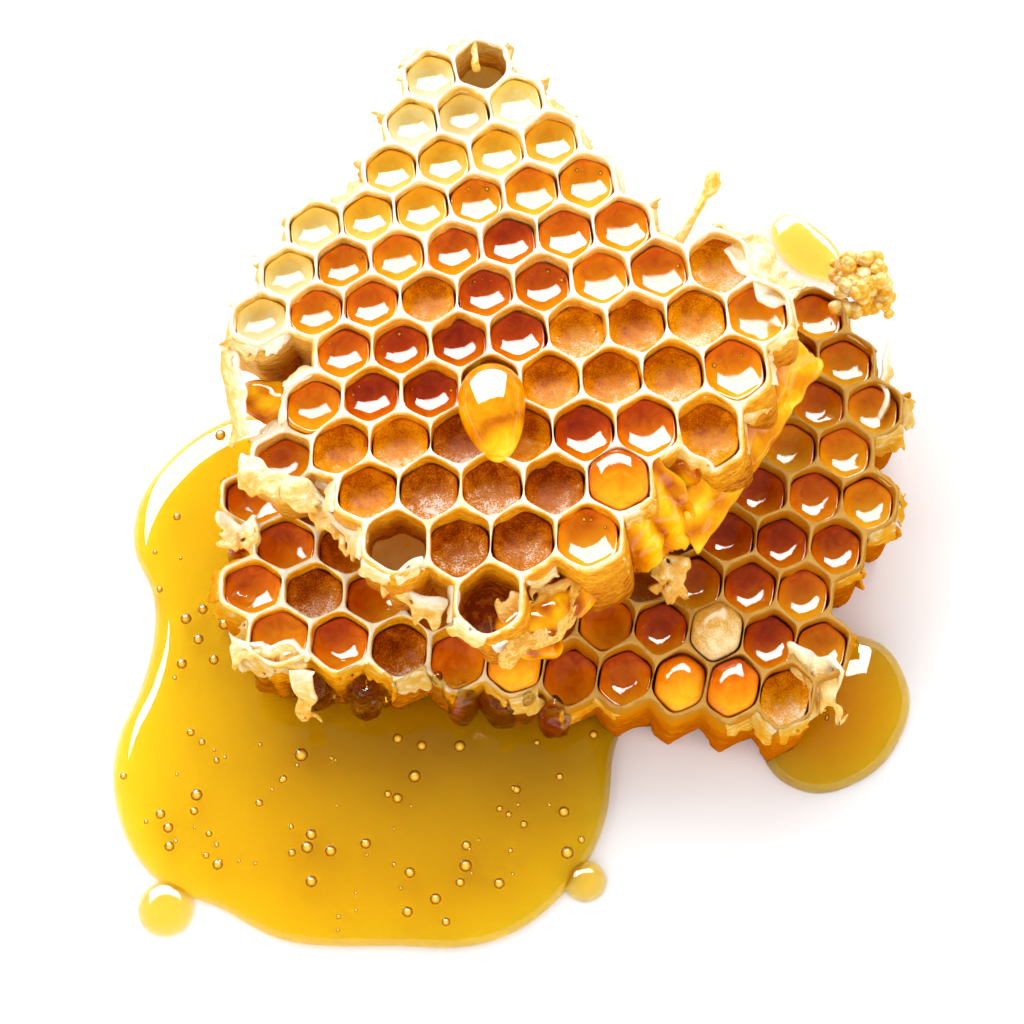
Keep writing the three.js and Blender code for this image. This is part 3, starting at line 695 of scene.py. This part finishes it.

# The drop that stands on the near middle cell, wide on the far side, with painted light in its near rim
# and a painted line of shade across it
DROP_MIDDLE = (-1.8, 5.3, 21.4)
DROP_RADII = (3.3, 4.7, 2.6)
shape = bmesh.new()
painted_glow_and_tone = shape.verts.layers.float.new("painted_glow_and_tone")
for vert in ball(shape, *DROP_MIDDLE, *DROP_RADII, 48):
    away = from_middle(vert, DROP_MIDDLE)
    vert.co.x += (max(0.0, -away.y) * 0.12 - away.x * (0.1 - 0.045 * away.y)) * MM
    along = (0.45 * away.x - away.y) / 4.9
    # Painted light towards the near rim, and a painted line of shade across the drop
    vert[painted_glow_and_tone] = 0.4 + 0.6 * max(0.0, along) ** 2 - 0.35 * math.exp(-((along - 0.4) / 0.14) ** 2)
drop = finished("big_drop", shape, [flowing])
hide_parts("upper_honey")

# Beads of honey that touch the pool's near edge
for name, x, y, radius in (("left_bead", -31.7, -35.1, 2.6), ("right_bead", 6.7, -32.5, 2.0)):
    turns = [k * math.tau / 8 for k in range(8)]
    outline = [(x + radius * math.cos(turn), y + radius * math.sin(turn)) for turn in turns]
    bead = puddle(name, outline, (x, y), lambda x: 1.5, 1.8, straw, count=48)
    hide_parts("honey_pool")

# Bubbles that rose to the skin of the pool and of the drop on the right
shape = bmesh.new()
draws = random.Random(21)
shore = smooth_ring(POOL_OUTLINE, 90)
POOL_BUBBLES = 95
DROP_BUBBLES = 9
count = 0
while count < POOL_BUBBLES:
    spot = Vector(POOL_MIDDLE).lerp(draws.choice(shore), 0.95 * math.sqrt(draws.random()))
    under_comb = spot.y > -19 and spot.x > -27
    if under_comb or draws.random() > 0.3 + 0.7 * math.exp(-((spot.y + 29) / 7) ** 2):
        continue
    size = draws.choice((0.16, 0.2, 0.26, 0.34, 0.44, 0.56)) * draws.uniform(0.85, 1.15)
    ball(shape, spot.x, spot.y, pool_depth(spot.x) - size * 0.3, size, size, size * 0.9, 12)
    count += 1
for number in range(DROP_BUBBLES):
    size = draws.uniform(0.15, 0.4)
    x = 28.6 + draws.uniform(-0.8, 1.6)
    y = -17 + draws.uniform(-2.6, 3.2)
    ball(shape, x, y, 3.4, size, size, size, 12)
bubbles = finished("pool_bubbles", shape, [bubble])
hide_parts("honey_pool")

# Bubbles against the far walls of the cells
shape = bmesh.new()
draws = random.Random(17)
for cell in upper_cells.values():
    if cell["fill"] not in "gar" or draws.random() < 0.35:
        continue
    level = rim_at(UPPER, *cell["middle"]) - FILLS[cell["fill"]]
    for number in range(draws.choice((1, 2, 3, 5))):
        size = draws.uniform(0.09, 0.24)
        turn = math.radians(draws.uniform(20, 160))
        x, y = cell["middle"] + Vector((math.cos(turn), math.sin(turn))) * 1.95
        ball(shape, x, y, level + draws.uniform(-0.1, 0.2), size, size, size, 10)
bubbles = finished("cell_bubbles", shape, [bubble])
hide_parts("upper_honey")

# The broken edges of both layers
shape = bmesh.new()
torn_edges(shape, UPPER, upper_cells, 11, 0.7, (0.5, 1.7), (2, 5), (0.0, 0.14))
torn = skin("upper_torn_edges", shape, fresh_wax, 0.3)
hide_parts("upper_wax")
shape = bmesh.new()
torn_edges(shape, LOWER, lower_cells, 12, 0.8, (0.5, 1.7), (3, 7), (0.02, 0.2))
torn = skin("lower_torn_edges", shape, stained_wax, 0.34)
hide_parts("lower_wax")

# Larger torn skins of the upper layer: where they hang from and where they reach, then how many parts they
# have, how ragged and lumpy they are, their stain and their holes
UPPER_SKINS = (
    (((-24, 2.5, 19), (-17, -1.2, 18.6), (-17.5, -3.4, 18.4), (-24.6, -0.6, 18.2)),
     14, 6, 1.6, 0.9, (0.0, 0.09), 1),
    (((-18, -0.8, 18.6), (-13, -5.4, 18.6), (-13.6, -7.8, 17.6), (-18, -3.4, 18)),
     14, 6, 1.8, 0.9, (0.0, 0.09), 1),
    (((-25, 13, 20), (-23.5, 4, 19.6), (-25, 3, 18.4), (-26.2, 12.5, 18.8)),
     14, 6, 1.0, 0.9, (0.0, 0.1), 1),
    (((-12.6, -7.6, 17.6), (-6.2, -11, 17), (-7, -13, 16), (-12, -9.8, 16.6)),
     12, 6, 1.6, 0.9, (0.0, 0.1), 2),
    (((24, 15.4, 21), (19.4, 21.4, 21), (22.6, 24, 20), (27, 17.6, 19.6)),
     14, 7, 1.8, 1.1, (0.0, 0.05), 2),
    (((-1.6, -11.4, 17.9), (6.8, -8.2, 18.2), (5.6, -13.6, 17), (-0.6, -16.8, 16.4)),
     12, 8, 1.6, 1.1, (0.05, 0.35), 18),
)
shape = bmesh.new()
for number, (corners, columns, rows, ragged, lumps, stain, holes) in enumerate(UPPER_SKINS):
    sheet(shape, corners, columns, rows, ragged, lumps, 40 + number, stain, holes)
skins = skin("upper_torn_skins", shape, fresh_wax, 0.5)
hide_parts("upper_wax")

# The same for the lower layer
LOWER_SKINS = (
    (((-27, -0.8, 11.8), (-22.6, -1.6, 12), (-23.2, -4.6, 11.4), (-26.8, -4, 11)),
     14, 9, 2.0, 1.1, (0.0, 0.09), 3),
    (((-25.4, -12.4, 11.9), (-18.4, -13.4, 12), (-19.4, -15.4, 11.4), (-24.6, -14.8, 10.8)),
     16, 8, 2.2, 1.1, (0.0, 0.09), 3),
    (((-20.4, -15.6, 11.4), (-17.6, -16, 11.4), (-18.2, -19, 6.6), (-19.4, -18.8, 6.4)),
     8, 10, 1.4, 0.8, (0.0, 0.12), 2),
    (((24.8, -13, 11.6), (29.4, -15, 11.6), (29.6, -19.6, 9.8), (25.6, -16.6, 10.4)),
     14, 10, 2.4, 1.1, (0.0, 0.09), 3),
    (((12.4, -4.8, 12), (16.2, -5.2, 12), (15.8, -9.4, 11.8), (13, -8.8, 11.8)),
     12, 10, 2.2, 0.7, (0.08, 0.14), 3),
    (((34.4, 9, 11.2), (35.2, 16.6, 11.2), (36, 16.4, 9.4), (35.4, 9.4, 9.4)),
     14, 6, 1.4, 0.7, (0.0, 0.14), 1),
)
shape = bmesh.new()
for number, (corners, columns, rows, ragged, lumps, stain, holes) in enumerate(LOWER_SKINS):
    sheet(shape, corners, columns, rows, ragged, lumps, 60 + number, stain, holes)
skins = skin("lower_torn_skins", shape, fresh_wax, 0.5)
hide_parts("lower_wax")

# A thread of wax that curls up behind the far right edge, and the spike on the far tip
shape = bmesh.new()
depth = shape.verts.layers.float.new("depth")
strand(shape, ((14.4, 21.6, 19.6, 0.5), (17.4, 26.4, 20.4, 0.35), (18.2, 27.6, 20.8, 0.5),
               (18.6, 28.8, 21, 0.75), (18.6, 29.6, 21, 0.3)))
strand(shape, ((-3.4, 40.2, 20.8, 0.5), (-3.5, 42, 21, 0.35), (-3.5, 43.4, 21.2, 0.12)))
roughen(shape.verts, 0.7, 0.4, 2)
for vert in shape.verts:
    vert[depth] = 0.035
curl = finished("wax_threads", shape, [fresh_wax], 1)
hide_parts("upper_wax")

# A heap of chewed wax crumbs on the far right corner
CRUMBS = 130
shape = bmesh.new()
depth = shape.verts.layers.float.new("depth")
draws = random.Random(8)
for number in range(CRUMBS):
    lift = draws.random()
    size = draws.uniform(0.4, 1.0)
    tone = draws.choice((0.025, 0.04, 0.05, 0.06))
    x = 33.4 + draws.uniform(-3.4, 2.6) * (1 - 0.45 * lift)
    y = 22.6 + draws.uniform(-3, 3.2) * (1 - 0.45 * lift)
    for vert in ball(shape, x, y, 10.4 + 3 * lift, size, size, size * 0.9, 10):
        vert[depth] = tone
roughen(shape.verts, 0.5, 0.4, 6)
crumbs = finished("wax_crumbs", shape, [fresh_wax], 1)
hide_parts("lower_wax")

# Honey that runs out of the overfull cell and down the side, in folds painted lighter and darker as shade,
# and the golden strip beside it, whose tone differs at random
shape = bmesh.new()
painted_glow_and_tone = shape.verts.layers.float.new("painted_glow_and_tone")
SPILL_TOP = 21.2
SPILL_FOOT = 12.9
FLANK = Vector((0.56, 0.83))
FLANK_OUT = Vector((0.83, -0.56, 0))
sheet(shape, ((12.9, 1.4, SPILL_TOP), (8.8, -4.6, 20.4), (11, -7.4, SPILL_FOOT), (17.2, -2.8, SPILL_FOOT)),
      40, 16, 1.2, 0.5, 71)
for vert in shape.verts:
    down = (SPILL_TOP - vert.co.z / MM) / (SPILL_TOP - SPILL_FOOT)
    fold = math.sin(vert.co.xy.dot(FLANK) / MM * 2.1 + down * 1.6 + noise.noise(vert.co / (3 * MM)))
    bulge = math.sin(math.pi * min(1.0, max(0.0, down)))
    vert.co += FLANK_OUT * (0.24 * fold + 1.1 * bulge) * MM
    # Painted shade: lighter and darker along the folds
    vert[painted_glow_and_tone] = 0.45 + 0.36 * fold
spilled = set(shape.verts)
sheet(shape, ((14.2, -2.6, 16.8), (26, 14.8, 16.9), (29, 13.6, SPILL_FOOT), (17, -5.2, SPILL_FOOT)),
      30, 10, 0.8, 0.35, 39)
for vert in set(shape.verts) - spilled:
    vert[painted_glow_and_tone] = 0.5 + 0.7 * noise.noise(vert.co / (2.4 * MM))
curtain = skin("spilling_honey", shape, flowing, 0.8)
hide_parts("upper_honey")

# The overfull cell's dome, with painted light towards its near side, and lumps of honey in the torn cells
DOME_MIDDLE = (9.5, -1.2, 21.0)
DOME_RADII = (2.6, 2.7, 1.7)
shape = bmesh.new()
painted_glow_and_tone = shape.verts.layers.float.new("painted_glow_and_tone")
for vert in ball(shape, *DOME_MIDDLE, *DOME_RADII, 32):
    away = from_middle(vert, DOME_MIDDLE)
    # Painted light: the dome is brighter towards its near side
    vert[painted_glow_and_tone] = 0.05 + 0.3 * max(0.0, -away.y) / DOME_RADII[1]
for x, y, z, rx, ry, rz in ((1.2, -12.4, 16.2, 2.6, 2.2, 1.7), (3.6, -11.2, 16.2, 2.4, 2.5, 1.9),
                            (2.4, -14.2, 15.2, 2.1, 1.8, 1.5), (6, -9.4, 16, 1.9, 2.4, 2.0),
                            (15.4, 1.5, 17.4, 1.8, 1.7, 1.7), (-22.4, 8.4, 16.8, 2.7, 2.1, 2.2)):
    lump = ball(shape, x, y, z, rx, ry, rz, 24)
    roughen(lump, 2.2, 0.8, x)
    for vert in lump:
        vert[painted_glow_and_tone] = 0.4 + 0.9 * noise.noise(vert.co / (1.6 * MM))
overfull = finished("overfull_honey", shape, [flowing], 1)
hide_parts("upper_honey")

# Honey that hangs in beads along the front and the left of the lower layer: the place, radius and height of
# the large ones
LOWER_DRIPS = ((-24.9, -3.5, 1.6, 8.5), (-24.4, -8, 1.5, 8), (-18, -15.6, 1.5, 6), (-13.4, -16.4, 1.8, 7),
               (-4.5, -17, 1.5, 6.5), (-0.8, -17.4, 1.4, 5.5), (4, -18.2, 1.5, 6))
shape = bmesh.new()
draws = random.Random(31)
beads = list(LOWER_DRIPS)
for cell in lower_cells.values():
    for i, neighbour in enumerate(cell["around"]):
        rim = cell["corners"][i - 1].lerp(cell["corners"][i], 0.5)
        if neighbour not in lower_cells and rim.y < -13 and rim.x < 7 and draws.random() < 0.75:
            beads.append((rim.x, rim.y, draws.uniform(0.9, 1.5), draws.uniform(5, 8.6)))
for x, y, radius, top in beads:
    strand(shape, ((x, y + 0.3, top + 2.4, radius * 0.5), (x, y - 0.1, top, radius),
                   (x, y - 0.3, top - 2.4, radius * 0.95), (x, y - 0.3, top - 4, radius * 0.5)), 5, 16)
roughen(shape.verts, 1.6, 0.6, 9)
drips = finished("hanging_beads", shape, [straw], 1)
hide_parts("lower_honey")

# The stage: a white board, a window behind the piece, soft lamps on its other sides, and a dim white room
board_shape = bmesh.new()
bmesh.ops.create_grid(board_shape, x_segments=1, y_segments=1, size=1.5)
board_mesh = bpy.data.meshes.new("board")
board_shape.to_mesh(board_mesh)
board_mesh.materials.append(white_board())
board = bpy.data.objects.new("board", board_mesh)
board.location.z = BOARD_TOP * MM
bpy.context.scene.collection.objects.link(board)


def softbox(name, azimuth, elevation, distance, width, height, power, gleams=True, lights=True):
    """A rectangular lamp aimed at the piece, from straight behind it at azimuth 0 and its right at 90.

    One that doesn't light shows only as a highlight, and one without gleams shows in no highlight.
    """
    lamp = bpy.data.lights.new(name, "AREA")
    lamp.shape = "RECTANGLE"
    lamp.size = width
    lamp.size_y = height
    lamp.energy = power
    made = bpy.data.objects.new(name, lamp)
    a, e = math.radians(azimuth), math.radians(elevation)
    toward = Vector((math.sin(a) * math.cos(e), math.cos(a) * math.cos(e), math.sin(e)))
    made.location = toward * distance
    made.rotation_mode = "QUATERNION"
    made.rotation_quaternion = toward.to_track_quat("Z", "Y")
    made.visible_glossy = gleams
    made.visible_diffuse = lights
    made.visible_transmission = lights
    bpy.context.scene.collection.objects.link(made)


softbox("window_gleam", -10, 34, 0.8, 1.3, 0.92, 78, lights=False)
softbox("window_glow", -10, 34, 0.84, 1.3, 0.92, 8.5)
softbox("near_fill", 178, 24, 1.0, 2.2, 0.5, 9, gleams=False)
softbox("left_fill", -95, 32, 1.0, 1.6, 0.8, 7, gleams=False)
softbox("right_fill", 95, 32, 1.0, 1.6, 0.8, 7, gleams=False)

world = bpy.data.worlds.new("room")
world.use_nodes = True
world.node_tree.nodes["Background"].inputs["Color"].default_value = (1, 1, 1, 1)
world.node_tree.nodes["Background"].inputs["Strength"].default_value = 0.19
bpy.context.scene.world = world

# The camera looks down steeply from the near side and frames this many millimetres across
ELEVATION = math.radians(70)
ACROSS = 94.8
AIM_HEIGHT = 10
camera_data = bpy.data.cameras.new("camera")
camera_data.lens = 100
camera_data.sensor_width = 36
camera_data.clip_start = 0.01
camera_data.clip_end = 10
camera = bpy.data.objects.new("camera", camera_data)
distance = ACROSS * camera_data.lens / camera_data.sensor_width
back = Vector((0, -math.cos(ELEVATION), math.sin(ELEVATION)))
camera.location = placed(0, 0, AIM_HEIGHT) + back * distance * MM
camera.rotation_mode = "QUATERNION"
camera.rotation_quaternion = back.to_track_quat("Z", "Y")
bpy.context.scene.collection.objects.link(camera)
bpy.context.scene.camera = camera
bpy.context.scene.view_settings.view_transform = "Standard"
